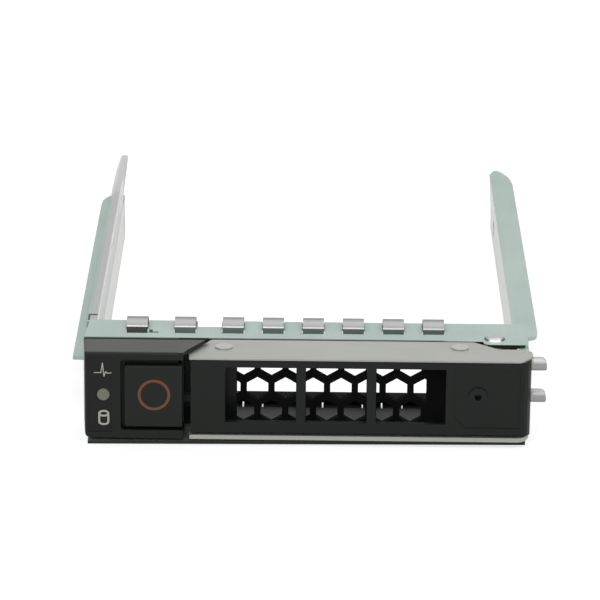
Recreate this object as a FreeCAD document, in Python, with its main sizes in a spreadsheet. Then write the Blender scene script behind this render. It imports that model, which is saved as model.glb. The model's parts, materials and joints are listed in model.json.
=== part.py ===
import FreeCAD, Part
import os
import Sketcher

# A hot swap drive caddy for a 2.5-inch drive.
# X runs across the caddy, Y from the front face to the rear, Z up from the underside.
# Every sub-part is drawn with the front face at Y = 0, then its Placement moves the
# middle of the caddy's length onto the origin.

doc = FreeCAD.newDocument("DriveCaddy")
sheet = doc.addObject("Spreadsheet::Sheet", "Sizes")

SIZES = [
    ("overall_length", 131.0, "front face to the tip of the right rail"),
    ("drive_width", 69.85, "2.5-inch drive across its side faces"),
    ("drive_side_gap", 0.175, "between the drive and each side wall"),
    ("drive_hole_pitch", 76.6, "between the two side screws of the drive"),
    ("drive_hole_front", 30.35, "front side screw, from the front face"),
    ("drive_hole_height", 3.6, "side screws above the underside"),
    ("drive_hole_r", 1.65, "clearance for an M3 screw"),
    ("sheet", 0.6, "zinc sheet of tray and bracket"),
    ("rail_top", 8.0, "top of the rail flanges"),
    ("base_front", 0.05, "front edge of the base plate, at the left"),
    ("base_slant", 1.6, "front edge of the base plate, further back at the right"),
    ("base_back", 19.5, "back edge of the base plate and of the ledge"),
    ("left_wall_front", 9.5, "front end of the left side walls"),
    ("right_wall_front", 12.8, "front end of the right side walls"),
    ("left_rail_end", 111.9, "rear end of the left rail"),
    ("slot_w", 3.65, "slots for the spring fingers"),
    ("slot_front_left", 13.0, "front end of the first slot"),
    ("slot_front_step", 0.107, "each next slot starts this much further back"),
    ("finger_w", 3.5, "upper spring finger"),
    ("low_finger_w", 3.0, "lower spring finger"),
    ("finger_t", 0.15, "spring strip"),
    ("finger_1", -28.27, "first finger centre"),
    ("finger_2", -20.32, "second finger centre"),
    ("finger_3", -12.35, "third finger centre, the rest follow by the pitch"),
    ("finger_pitch", 6.636, "between fingers three to eight"),
    ("spine_gap", 0.05, "between the back edge and the strip's spine"),
    ("spine_over", 0.6, "spine past the outer fingers"),
    ("spine_drop", 1.7, "upper strip's spine, below the top of the ledge"),
    ("spine_notch_gap", 0.1, "upper strip's spine, beside the notch"),
    ("spine_notch_low", 0.2, "upper strip's spine in the notch, above the ribs"),
    ("low_spine_h", 0.2, "height of the lower strip's spine"),
    ("ledge_top", 14.7, "top of the bracket's ledge"),
    ("ledge_front", 10.5, "front edge of the ledge"),
    ("ledge_flare", 0.5, "left edge of the ledge, further out at the front"),
    ("bracket_low", 2.5, "lower edge of the bracket's side flanges"),
    ("tongue_left", -6.2, "left edge of the tongue over the pivot"),
    ("tongue_front", 9.0, "front edge of the tongue"),
    ("tongue_r", 1.2, "tongue corners"),
    ("ear_low_z", 13.7, "forward end of the right flange, underside"),
    ("ear_h", 0.5, "forward end of the right flange, height"),
    ("ear_w", 1.5, "forward end of the right flange, width"),
    ("ear_tip", 6.6, "forward end of the right flange, tip"),
    ("notch_left", -18.3, "notch in the back edge of the ledge"),
    ("notch_w", 4.0, "notch width"),
    ("notch_depth", 3.05, "notch depth"),
    ("hook_x", -26.24, "small L slot in the ledge"),
    ("hook_y", 13.2, "small L slot, front edge"),
    ("hook_l", 1.57, "small L slot, length"),
    ("hook_w", 0.6, "small L slot, width"),
    ("pivot_x", -4.3, "handle pivot"),
    ("pivot_y", 12.0, "handle pivot"),
    ("pivot_r", 1.2, "pivot pin"),
    ("pivot_head_r", 1.75, "pivot pin head"),
    ("pivot_head_h", 0.5, "pivot pin head"),
    ("pivot_head_slope", 0.45, "sloping rim of the pin head"),
    ("pivot_play", 0.05, "running clearance round the pin and beside the washer"),
    ("sleeve_r", 2.0, "spacer sleeve round the pin"),
    ("lug_r", 2.4, "half width of the pivot lugs"),
    ("lug_low_top", 13.6, "top of the upper pivot lug"),
    ("cap_left", -1.0, "left face of the latch cap, at the front"),
    ("cap_flare", 0.55, "left face of the latch cap, further out at the back"),
    ("cap_right", 15.0, "right end of the latch cap"),
    ("cap_bottom", 0.9, "underside of the latch cap"),
    ("cap_top", 15.9, "top of the latch cap"),
    ("cap_back", 7.0, "back of the latch cap"),
    ("cap_roof", 0.7, "roof of the latch cap"),
    ("cap_floor", 1.0, "floor of the latch cap"),
    ("cap_corner_r", 1.0, "outer corners of the cap"),
    ("cap_wall", 1.2, "front wall of the cap"),
    ("cap_cheek", 0.5, "right wall of the cap"),
    ("cap_cheek_front", 3.2, "front edge of the right wall"),
    ("eave_t", 0.6, "roof where it passes over the handle"),
    ("well_left", 3.6, "left wall of the latch well"),
    ("opening_left", 4.8, "left edge of the button opening"),
    ("opening_low", 2.5, "bottom edge of the button opening"),
    ("opening_high", 14.6, "top edge of the button opening"),
    ("opening_r", 0.6, "corners of the button opening"),
    ("label_left", -0.47, "inlay, left edge"),
    ("label_w", 3.9, "inlay, width"),
    ("label_low", 2.14, "inlay, bottom edge"),
    ("label_h", 12.88, "inlay, height"),
    ("label_t", 0.2, "inlay, thickness"),
    ("label_inset", 0.1, "inlay, behind the face of the cap"),
    ("lens_x", 2.02, "lamp window"),
    ("mid_z", 8.58, "height of the lamp window and of the ring"),
    ("lens_r", 1.0, "lamp window"),
    ("lens_l", 1.5, "lamp window, depth"),
    ("pipe_left", -1.8, "light pipe, outer face"),
    ("pipe_w", 1.8, "light pipe, width"),
    ("pipe_front", 20.35, "light pipe, front end on the rail"),
    ("pipe_jog", 0.7, "light pipe, step inwards"),
    ("pipe_jog_low", 8.1, "light pipe, underside of the step"),
    ("pipe_jog_top", 14.3, "light pipe, top of the step"),
    ("pipe_h", 1.8, "light pipe, height under the ledge"),
    ("mark_back", 22.3, "small L groove on the light pipe, back edge"),
    ("mark_l", 1.35, "small L groove, length"),
    ("mark_w", 0.25, "small L groove, width"),
    ("mark_depth", 13.1, "small L groove, bottom"),
    ("channel_gap", 0.3, "round the light pipe inside the cap"),
    ("tail_left", 0.3, "housing behind the cap, left face"),
    ("tail_wall", 0.5, "housing wall beside the tray"),
    ("tail_floor", 1.0, "housing floor behind the cap"),
    ("tail_rib", 13.1, "rib behind the cap"),
    ("tail_rib_w", 1.0, "rib behind the cap"),
    ("rib_top", 13.9, "top of screen and ribs"),
    ("rib_back_top", 13.2, "top of the ribs and walls under the ledge"),
    ("screen_left", 20.1, "screen, left end"),
    ("screen_right", 24.6, "screen, right end"),
    ("screen_front", 6.0, "screen, front face"),
    ("screen_t", 1.5, "screen, thickness"),
    ("floor_t", 0.4, "housing floor behind the screen"),
    ("wall_front", 16.0, "walls behind the latch and behind the pivot"),
    ("wall_right", -0.3, "right end of the wall behind the pivot"),
    ("hex_pitch", 4.56, "honeycomb, centre to centre in a row"),
    ("hex_row", 3.92, "honeycomb, between rows"),
    ("hex_flat", 3.5, "honeycomb hole, across flats"),
    ("hex_x", 0.98, "honeycomb, middle row, one centre"),
    ("hex_z", 7.71, "honeycomb, height of the middle row"),
    ("bay_low", 1.3, "screen bays, bottom"),
    ("bay_high", 13.55, "screen bays, top"),
    ("bay_1_left", -11.5, "left bay"),
    ("bay_1_w", 9.7, "left bay"),
    ("bay_2_left", -0.19, "middle bay"),
    ("bay_2_w", 9.91, "middle bay"),
    ("bay_3_left", 11.36, "right bay"),
    ("bay_3_w", 8.19, "right bay"),
    ("rib_w", 1.0, "ribs behind the screen"),
    ("rib_shift", 0.3, "ribs, beside the bays"),
    ("bar_front", 17.25, "rear bar, front face"),
    ("bar_back", 20.1, "rear bar, back face"),
    ("bar_top", 2.12, "rear bar, top"),
    ("bar_over", 6.17, "rear bar, past the middle of the last finger"),
    ("slit_w", 0.25, "slits in the rear bar, beside the lower fingers"),
    ("slit_front", 15.5, "slits, front end"),
    ("slit_top", 1.4, "slits, top"),
    ("stake_r", 1.0, "rivets under the housing"),
    ("stake_h", 1.4, "rivets under the housing"),
    ("stake_1_x", 2.1, "rivet by the light pipe"),
    ("stake_2_x", 10.8, "rivet behind the latch"),
    ("stake_3_over", 3.324, "rivet in the rear bar, past the middle of the fourth finger"),
    ("stake_4_over", 3.77, "rivet in the rear bar, past the middle of the last finger"),
    ("stake_front_y", 11.5, "front pair of rivets"),
    ("stake_rear_y", 18.6, "rear pair of rivets"),
    ("button_left", 5.4, "push button"),
    ("button_w", 9.4, "push button"),
    ("button_low", 3.03, "push button"),
    ("button_h", 10.55, "push button"),
    ("button_t", 1.2, "push button face"),
    ("button_edge_r", 0.5, "push button corners"),
    ("neck_inset", 0.3, "neck behind the button's face"),
    ("neck_lap", 0.2, "neck and posts, sunk into what carries them"),
    ("ear_gap", 0.3, "between the button's ears and the cap's wall"),
    ("ear_t", 0.5, "ears that keep the button in"),
    ("ear_left", 4.1, "ears, left reach"),
    ("ear_low", 2.1, "ears, bottom reach"),
    ("ear_high", 15.0, "ears, top reach"),
    ("ear_right_gap", 0.8, "between the ears and the right end of the cap"),
    ("ring_x", 10.25, "coloured ring"),
    ("ring_r", 2.635, "coloured ring, outside"),
    ("ring_band", 0.45, "coloured ring, band"),
    ("ring_t", 0.4, "coloured ring, depth"),
    ("slider_left", 7.6, "latch slider"),
    ("slider_right", 14.2, "latch slider"),
    ("slider_front", 3.8, "latch slider"),
    ("slider_t", 2.2, "latch slider"),
    ("slider_low", 4.9, "latch slider"),
    ("slider_h", 5.2, "latch slider"),
    ("nose_tip", 17.0, "latch nose"),
    ("nose_t", 1.4, "latch nose"),
    ("nose_low", 6.1, "latch nose"),
    ("nose_h", 1.2, "latch nose"),
    ("nose_slope", 0.8, "slope on the front of the nose"),
    ("nose_gap", 0.3, "round the nose"),
    ("cam_left", 9.6, "front end of the slope in the slider's window"),
    ("cam_right", 13.1, "right side of the slider's window"),
    ("cam_low", 7.5, "slider's window, bottom"),
    ("cam_h", 2.0, "slider's window, height"),
    ("cam_gap", 0.25, "between wedge and slider, across"),
    ("wedge_right", 11.3, "wedge on the button"),
    ("wedge_reach", 4.6, "wedge tip"),
    ("wedge_root", 1.9, "wedge, from its root to the slider"),
    ("wedge_gap", 0.3, "above and below the wedge"),
    ("cover_front", 6.3, "plate that closes the latch well"),
    ("cover_gap", 0.1, "round that plate"),
    ("guide_t", 0.6, "guides above and below the slider"),
    ("guide_gap", 0.3, "between guide and slider"),
    ("guide_front", 0.6, "guides, behind the front of the slider"),
    ("guide_right_gap", 0.5, "guides, short of the slider's right end"),
    ("press_spring_x", 10.1, "button spring"),
    ("press_spring_z", 12.5, "button spring"),
    ("spring_r", 0.75, "both springs, to the wire's middle"),
    ("wire_r", 0.12, "both springs, wire"),
    ("press_turns", 7.0, "button spring, turns"),
    ("latch_turns", 6.0, "latch spring, turns"),
    ("spring_post_r", 0.45, "posts inside the springs"),
    ("spring_post_l", 1.2, "posts inside the springs"),
    ("cover_post_l", 0.5, "post on the plate behind the latch"),
    ("latch_spring_y", 4.9, "latch spring"),
    ("latch_spring_z", 6.0, "latch spring"),
    ("handle_sheet", 0.7, "steel of the handle"),
    ("handle_top", 15.0, "top of the handle"),
    ("handle_low", 1.05, "underside of the handle"),
    ("web_front", 1.3, "front face of the handle's web"),
    ("web_left", 17.5, "handle's web"),
    ("web_right", -0.5, "handle's web"),
    ("web_hole_left", 20.8, "opening in the handle's web"),
    ("web_hole_right", 23.5, "opening in the handle's web"),
    ("web_hole_low", 2.9, "opening in the handle's web"),
    ("web_hole_high", 13.9, "opening in the handle's web"),
    ("lip_t", 0.27, "front lip of the top flange"),
    ("emboss_r", 1.45, "round embosses on the top flange"),
    ("emboss_h", 0.2, "round embosses on the top flange"),
    ("emboss_1_x", 21.45, "left emboss"),
    ("emboss_1_y", 5.61, "left emboss"),
    ("emboss_2_x", -10.21, "right emboss"),
    ("emboss_2_y", 6.44, "right emboss"),
    ("prong_front", 2.1, "prongs, front face"),
    ("prong_t", 1.7, "prongs"),
    ("prong_root", -1.9, "prongs, where they leave the web"),
    ("prong_tip", 3.8, "prongs"),
    ("prong_1_low", 7.1, "lower prong"),
    ("prong_2_low", 12.58, "upper prong"),
    ("prong_h", 2.0, "prongs"),
    ("prong_r", 0.9, "rounded tips of the prongs"),
    ("prong_edge_r", 0.8, "rounded front edges of the prongs"),
    ("fascia_front", 0.2, "front face of the fascia"),
    ("fascia_left", 16.2, "fascia, left end"),
    ("fascia_flat_end", -0.5, "fascia, end of the flat face"),
    ("fascia_right", 1.3, "fascia, right end"),
    ("fascia_low", 1.97, "fascia, bottom edge"),
    ("fascia_high", 14.7, "fascia, top edge"),
    ("fascia_edge_r", 0.3, "fascia, long front edges"),
    ("fascia_cheek", 1.0, "left wall of the fascia"),
    ("fascia_cheek_back", 6.2, "left wall of the fascia"),
    ("fascia_cheek_high", 14.0, "left wall of the fascia"),
    ("window_left", 21.77, "windows"),
    ("window_right", 22.54, "windows"),
    ("window_low", 3.97, "windows"),
    ("window_high", 13.41, "windows"),
    ("bar_1_left", -1.76, "left bar between the windows"),
    ("bar_1_w", 1.5, "left bar between the windows"),
    ("bar_2_left", 9.72, "right bar between the windows"),
    ("bar_2_w", 1.46, "right bar between the windows"),
    ("recess_t", 0.15, "shallow panel at the right of the fascia"),
    ("boss_x", -7.36, "fascia rivet"),
    ("boss_z", 8.8, "fascia rivet"),
    ("boss_r", 1.55, "fascia rivet head"),
    ("boss_shank_r", 0.9, "fascia rivet shank"),
    ("boss_bore_r", 0.57, "fascia rivet, hole in the middle"),
    ("boss_back", 2.3, "fascia rivet, rear end"),
]

# Outlines that need more than a width and a height, as (first, second) pairs.
OUTLINES = {
    "left_rail": [(-4.2, 20.0), (0.0, 19.6), (0.0, 111.9), (-2.5, 111.9), (-3.5, 110.2),
                  (-4.0, 108.5), (-4.2, 105.3)],
    "right_rail": [(0.0, 31.6), (2.6, 31.9), (3.6, 32.6), (3.95, 33.2), (4.2, 35.0),
                   (4.2, 122.0), (3.9, 124.6), (3.5, 126.8), (2.3, 129.9), (1.5, 131.0),
                   (0.9, 130.8), (0.4, 129.4), (0.0, 128.0)],
    "right_wall": [(12.8, 0.0), (119.0, 0.0), (120.0, 2.2), (122.0, 3.8), (128.0, 7.4),
                   (128.4, 8.0), (12.8, 8.0)],
    "eave": [(14.1, 0.0), (14.96, 0.0), (15.55, 1.39), (18.95, 7.4), (14.1, 7.4)],
    "flange": [(15.9, 1.3), (15.65, 3.45), (19.08, 8.68), (19.5, 9.2), (-7.8, 9.3),
               (-3.9, 5.92), (-0.2, 5.92), (0.8, 5.6), (1.4, 4.9), (1.6, 3.9), (1.4, 2.6),
               (1.2, 2.0), (-0.3, 2.0), (-0.3, 1.3)],
    "lip": [(16.0, 0.0), (15.9, 1.4), (-0.3, 1.4), (-0.3, 2.1), (1.23, 2.1), (1.0, 1.6),
            (0.4, 0.8), (-0.1, 0.3), (-0.7, 0.0)],
    "low_flange": [(16.0, 0.0), (15.8, 3.2), (17.2, 5.0), (-0.2, 5.0), (0.9, 4.4), (1.2, 3.4),
                   (1.1, 2.2), (0.6, 0.9), (-0.1, 0.2), (-0.7, 0.0)],
    "pipe_plan": [(-1.8, 20.0), (0.0, 20.0), (0.0, 100.0), (-0.25, 112.0), (-0.4, 131.0),
                  (-1.65, 131.0), (-1.8, 112.0)],
    "recess": [(-11.29, 13.5), (-11.29, 5.3), (-9.4, 3.37), (-0.5, 3.37), (-0.5, 13.5)],
    "rear_pipe": [(20.35, 8.0), (104.0, 8.0), (110.0, 8.6), (127.0, 9.2), (129.8, 9.5),
                  (130.7, 10.0), (130.2, 10.5), (115.0, 12.1), (100.0, 13.0), (85.0, 13.05),
                  (70.0, 13.3), (20.35, 13.6)],
    "top_finger": [(19.6, 14.2), (19.8, 14.2), (19.8, 14.9), (19.2, 15.45), (18.2, 15.85),
                   (16.9, 16.1), (16.1, 15.9), (15.25, 15.28), (14.8, 14.15), (14.55, 13.55),
                   (14.7, 13.5), (14.95, 14.1), (15.4, 15.2), (16.2, 15.78), (16.9, 15.95),
                   (18.1, 15.7), (19.1, 15.32), (19.6, 14.8)],
    "low_finger": [(19.75, 0.6), (19.6, 0.6), (19.55, 0.4), (18.4, 0.2), (16.8, 0.15),
                   (15.2, 0.2), (14.2, 0.45), (14.1, 0.3), (15.1, 0.05), (16.8, 0.0),
                   (18.5, 0.05), (19.6, 0.25), (19.75, 0.3)],
}

# Places across the caddy that go with a side wall. Each of these sizes runs from the inner
# face of its wall, to the right where it is positive. The rest run from the middle.
FROM_LEFT_WALL = {"cap_left", "cap_right", "well_left", "opening_left", "label_left", "lens_x",
                  "pipe_left", "tail_left", "tail_rib", "stake_1_x", "stake_2_x", "button_left",
                  "ear_left", "ring_x", "slider_left", "slider_right", "nose_tip", "cam_left",
                  "cam_right", "wedge_right", "press_spring_x", "web_left", "web_hole_left",
                  "emboss_1_x", "fascia_left", "window_left", "screen_left"}
FROM_RIGHT_WALL = {"pivot_x", "tongue_left", "wall_right", "web_right", "emboss_2_x",
                   "prong_root", "prong_tip", "fascia_flat_end", "fascia_right", "boss_x"}

# The same for the corners of the outlines: L for the left wall and R for the right one.
CORNER_WALLS = {
    "left_rail": "LLLLLLL",
    "right_rail": "RRRRRRRRRRRRR",
    "eave": "LLLLL",
    "flange": "LLLLRRRRRRRRRR",
    "lip": "LLRRRRRRR",
    "low_flange": "LLLRRRRRRR",
    "pipe_plan": "LLLLLLL",
    "recess": "RRRRR",
}


def fill_sheet():
    row = 0
    for alias, size, note in SIZES:
        row += 1
        sheet.set(f"A{row}", alias)
        sheet.set(f"B{row}", str(size))
        sheet.set(f"C{row}", note)
        sheet.setAlias(f"B{row}", alias)
    for outline, corners in OUTLINES.items():
        for number, wall in enumerate(CORNER_WALLS.get(outline, "")):
            places = FROM_LEFT_WALL if wall == "L" else FROM_RIGHT_WALL
            places.add(f"{outline}_{number}_across")
        for number, (first, second) in enumerate(corners):
            for side, size in (("across", first), ("along", second)):
                row += 1
                alias = f"{outline}_{number}_{side}"
                sheet.set(f"A{row}", alias)
                sheet.set(f"B{row}", str(size))
                sheet.setAlias(f"B{row}", alias)


fill_sheet()
doc.recompute()


def from_middle(word):
    """The sheet's own name for a size, counted from the middle of the caddy."""
    wall = "(Sizes.drive_width / 2 + Sizes.drive_side_gap)"
    if word in FROM_LEFT_WALL:
        return f"(Sizes.{word} - {wall})"
    if word in FROM_RIGHT_WALL:
        return f"(Sizes.{word} + {wall})"
    return "Sizes." + word


def words(text):
    """Write a short expression with every size taken from the sheet."""
    out = ""
    word = ""
    for letter in str(text) + " ":
        if letter.isalnum() or letter == "_" or (letter == "." and word[:1].isdigit()):
            word += letter
            continue
        if word:
            out += word if word[0].isdigit() else from_middle(word)
            word = ""
        out += letter
    return out.strip()


def size(text):
    return float(sheet.evalExpression(words(text)))


def minus(first, second):
    return f"({second}) - ({first})"


def place(item, x, y, z):
    for axis, text in (("x", x), ("y", y), ("z", z)):
        item.setExpression(f"Placement.Base.{axis}", words(text))


def box(label, x0, x1, y0, y1, z0, z1):
    item = doc.addObject("Part::Box", label)
    item.setExpression("Length", words(minus(x0, x1)))
    item.setExpression("Width", words(minus(y0, y1)))
    item.setExpression("Height", words(minus(z0, z1)))
    place(item, x0, y0, z0)
    return item


TURNS = {
    "x": FreeCAD.Rotation(FreeCAD.Vector(0, 1, 0), 90),
    "y": FreeCAD.Rotation(FreeCAD.Vector(1, 0, 0), -90),
    "z": FreeCAD.Rotation(),
}


def rod(label, x, y, z, radius, length, along="z"):
    item = doc.addObject("Part::Cylinder", label)
    item.Placement = FreeCAD.Placement(FreeCAD.Vector(), TURNS[along])
    item.setExpression("Radius", words(radius))
    item.setExpression("Height", words(length))
    place(item, x, y, z)
    return item


# How a flat outline stands: its rotation, the way it is thickened and the placement axis.
PLANES = {
    "xy": (FreeCAD.Rotation(), FreeCAD.Vector(0, 0, 1), "z"),
    "xz": (FreeCAD.Rotation(FreeCAD.Vector(1, 0, 0), 90), FreeCAD.Vector(0, 1, 0), "y"),
    "yz": (FreeCAD.Rotation(FreeCAD.Vector(1, 1, 1), 120), FreeCAD.Vector(1, 0, 0), "x"),
}


def prism(label, plane, corners, start, end):
    turn, way, axis = PLANES[plane]
    flat = doc.addObject("Sketcher::SketchObject", label + "_outline")
    flat.Placement = FreeCAD.Placement(FreeCAD.Vector(), turn)
    flat.setExpression(f"Placement.Base.{axis}", words(start))
    spots = [FreeCAD.Vector(size(a), size(b), 0) for a, b in corners]
    count = len(spots)
    for number in range(count):
        edge = Part.LineSegment(spots[number], spots[(number + 1) % count])
        flat.addGeometry(edge, False)
    for number in range(count):
        flat.addConstraint(Sketcher.Constraint("Coincident", number, 2, (number + 1) % count, 1))
    for number, (first, second) in enumerate(corners):
        for kind, text, value in (("DistanceX", first, spots[number].x),
                                  ("DistanceY", second, spots[number].y)):
            index = flat.addConstraint(Sketcher.Constraint(kind, -1, 1, number, 1, value))
            flat.setExpression(f"Constraints[{index}]", words(text))
    item = doc.addObject("Part::Extrusion", label)
    item.Base = flat
    item.DirMode = "Custom"
    item.Dir = way
    item.Solid = True
    item.setExpression("LengthFwd", words(minus(start, end)))
    return item


def outline(name):
    count = len(OUTLINES[name])
    return [(f"{name}_{n}_across", f"{name}_{n}_along") for n in range(count)]


def fuse(label, items):
    item = doc.addObject("Part::MultiFuse", label)
    item.Shapes = items
    item.Refine = True
    return item


def cut(label, base, tools):
    tool = tools[0] if len(tools) == 1 else fuse(label + "_tools", tools)
    item = doc.addObject("Part::Cut", label)
    item.Base = base
    item.Tool = tool
    item.Refine = True
    return item


def common(label, first, second):
    item = doc.addObject("Part::Common", label)
    item.Base = first
    item.Tool = second
    return item


def group(label, items):
    item = doc.addObject("Part::Compound", label)
    item.Links = items
    return item


def round_edges(label, base, spots, axes=None):
    """Round the edges that stand on the given spots of the plane named by two axes.

    A spot is (first, second, radius) on the given plane, or has its own plane in front.
    A spot of ("mid", x, y, z, radius) is the edge with its middle there.
    """
    spots = [(axes,) + spot if axes else spot for spot in spots]
    doc.recompute()
    item = doc.addObject("Part::Fillet", label)
    item.Base = base
    chosen = []
    for plane, *where, radius in spots:
        goal = [size(text) for text in where]
        for number, edge in enumerate(base.Shape.Edges, 1):
            ends = [v.Point for v in edge.Vertexes]
            if len(ends) != 2:
                continue
            axis_names = "xyz" if plane == "mid" else plane
            if plane == "mid":
                ends = [(ends[0] + ends[1]) * 0.5]
            if all(abs(getattr(p, a) - g) < 0.01 for p in ends for a, g in zip(axis_names, goal)):
                chosen.append((number, size(radius), size(radius)))
    item.Edges = chosen
    return item


def coil(label, radius, wire, turns, length, along, x, y, z):
    """A compression spring: a round wire along a helix, with the ends cut by its length."""
    helix = doc.addObject("Part::Helix", label + "_line")
    helix.setExpression("Radius", words(radius))
    helix.setExpression("Pitch", words(f"(({length}) - 2 * {wire}) / {turns}"))
    helix.setExpression("Height", words(f"({length}) - 2 * {wire}"))
    section = doc.addObject("Part::Circle", label + "_wire")
    section.setExpression("Radius", words(wire))
    section.Placement.Rotation = FreeCAD.Rotation(FreeCAD.Vector(1, 0, 0), 90)
    section.setExpression("Placement.Base.x", words(radius))
    sweep = doc.addObject("Part::Sweep", label)
    sweep.Sections = [section]
    sweep.Spine = (helix, [])
    sweep.Solid = True
    sweep.Frenet = True
    doc.recompute()
    sweep.Placement = FreeCAD.Placement(FreeCAD.Vector(), TURNS[along])
    place(sweep, x, y, z)
    return sweep


NODES = []


def node(item, label):
    """Name a finished sub-part and move it to the caddy's own middle."""
    holder = doc.addObject("Part::Compound", label)
    holder.Links = [item]
    holder.setExpression("Placement.Base.y", "-Sizes.overall_length / 2")
    holder.Label = label
    NODES.append(holder)
    return holder


WALL_IN = "(drive_width / 2 + drive_side_gap)"
WALL_OUT = f"({WALL_IN} + sheet)"
FLANGE_OUT = f"({WALL_OUT} + sheet)"
FINGERS = ["finger_1", "finger_2"] + [f"(finger_3 + {n} * finger_pitch)" for n in range(6)]
BAR_RIGHT = f"({FINGERS[-1]} + bar_over)"
SLOT_FRONTS = [f"(slot_front_left + {n} * slot_front_step)" for n in range(8)]


def slots(name, low, high):
    made = []
    for number, (middle, front) in enumerate(zip(FINGERS, SLOT_FRONTS)):
        made.append(box(f"{name}_{number}", f"{middle} - slot_w / 2", f"{middle} + slot_w / 2",
                        front, "base_back + 1", low, high))
    return made


# Rail tray: one folded sheet, a base plate at the front and two L-shaped rails.
base = prism("base_plate", "xy", [
    (f"-{WALL_OUT}", "base_front"), (WALL_OUT, "base_front + base_slant"),
    (WALL_OUT, "base_back"), (f"-{WALL_OUT}", "base_back")], "0", "sheet")
left_wall = box("left_wall", f"-{WALL_OUT}", f"-{WALL_IN}", "left_wall_front", "left_rail_end",
                "0", "rail_top")
right_wall = prism("right_wall", "yz", outline("right_wall"), WALL_IN, WALL_OUT)
left_rail = prism("left_rail", "xy", outline("left_rail"), "rail_top - sheet", "rail_top")
right_rail = prism("right_rail", "xy", outline("right_rail"), "rail_top - sheet", "rail_top")
tray = fuse("tray", [base, left_wall, right_wall, left_rail, right_rail])
tray_cuts = slots("base_slot", "-1", "sheet + 1")
for number, spot in enumerate(("drive_hole_front", "(drive_hole_front + drive_hole_pitch)")):
    tray_cuts.append(rod(f"drive_hole_{number}", "-50", spot, "drive_hole_height",
                         "drive_hole_r", "100", "x"))
tray_cuts.append(rod("pin_hole_low", "pivot_x", "pivot_y", "-1", "pivot_r", "3"))
STAKES = [("stake_1_x", "stake_front_y"), ("stake_2_x", "stake_front_y"),
          (f"({FINGERS[3]} + stake_3_over)", "stake_rear_y"),
          (f"({FINGERS[-1]} + stake_4_over)", "stake_rear_y")]
for number, (x, y) in enumerate(STAKES):
    tray_cuts.append(rod(f"stake_hole_{number}", x, y, "-1", "stake_r", "3"))
node(cut("tray_body", tray, tray_cuts), "rail_tray")

# Top bracket: the ledge with its comb of finger slots, and a flange down each side.
ledge = prism("ledge_plate", "xy", [
    (f"-{FLANGE_OUT} - ledge_flare", "ledge_front"), (FLANGE_OUT, "ledge_front"),
    (FLANGE_OUT, "base_back"), (f"-{FLANGE_OUT}", "base_back")], "ledge_top - sheet", "ledge_top")
tongue = box("tongue", "tongue_left", FLANGE_OUT, "tongue_front", "ledge_front + tongue_r",
             "ledge_top - sheet", "ledge_top")
flange_ear = box("flange_ear", f"{FLANGE_OUT} - ear_w", FLANGE_OUT, "ear_tip",
                 "right_wall_front + sheet", "ear_low_z", "ear_low_z + ear_h")
flange_l = box("bracket_flange_left", f"-{FLANGE_OUT}", f"-{WALL_OUT}", "left_wall_front",
               "base_back", "bracket_low", "ledge_top - sheet / 2")
flange_r = box("bracket_flange_right", WALL_OUT, FLANGE_OUT, "right_wall_front",
               "base_back", "bracket_low", "ledge_top - sheet / 2")
bracket = fuse("bracket", [ledge, round_edges("tongue_round", tongue, [
    ("tongue_left", "tongue_front", "tongue_r"), (FLANGE_OUT, "tongue_front", "tongue_r")],
    "xy"), flange_l, flange_r, flange_ear])
bracket_cuts = slots("ledge_slot", "ledge_top - 3", "ledge_top + 1")
bracket_cuts.append(box("back_notch", "notch_left", "notch_left + notch_w",
                        "base_back - notch_depth", "base_back + 1", "ledge_top - 3",
                        "ledge_top + 1"))
bracket_cuts.append(box("hook_slot", "hook_x", "hook_x + hook_l", "hook_y", "hook_y + hook_w",
                        "ledge_top - 3", "ledge_top + 1"))
bracket_cuts.append(box("hook_leg", "hook_x", "hook_x + hook_w", "hook_y", "hook_y + hook_l",
                        "ledge_top - 3", "ledge_top + 1"))
bracket_cuts.append(rod("pin_hole_high", "pivot_x", "pivot_y", "ledge_top - 3", "pivot_r", "6"))
node(cut("bracket_body", bracket, bracket_cuts), "top_bracket")


# Spring finger strips: eight fingers on one spine, above the ledge and under the base.
def strip(name, profile, wide, spine_low, spine_high):
    made = [box(f"{name}_spine", f"finger_1 - {wide} / 2 - spine_over",
                f"{FINGERS[-1]} + {wide} / 2 + spine_over", "base_back + spine_gap",
                "base_back + spine_gap + finger_t", spine_low, spine_high)]
    for number, middle in enumerate(FINGERS):
        made.append(prism(f"{name}_finger_{number}", "yz", outline(profile),
                          f"{middle} - {wide} / 2", f"{middle} + {wide} / 2"))
    return fuse(f"{name}_body", made)


top_strip = cut("top_strip_cut", strip("top_strip", "top_finger", "finger_w",
                                       "ledge_top - spine_drop", "ledge_top - sheet / 3"),
                [box("spine_notch", "notch_left - spine_notch_gap",
                     "notch_left + notch_w + spine_notch_gap", "base_back - 1", "base_back + 1",
                     "rib_back_top + spine_notch_low", "ledge_top + 1")])
node(top_strip, "emi_strip_top")
node(strip("low_strip", "low_finger", "low_finger_w", "sheet - low_spine_h", "sheet"),
     "emi_strip_bottom")

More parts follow.
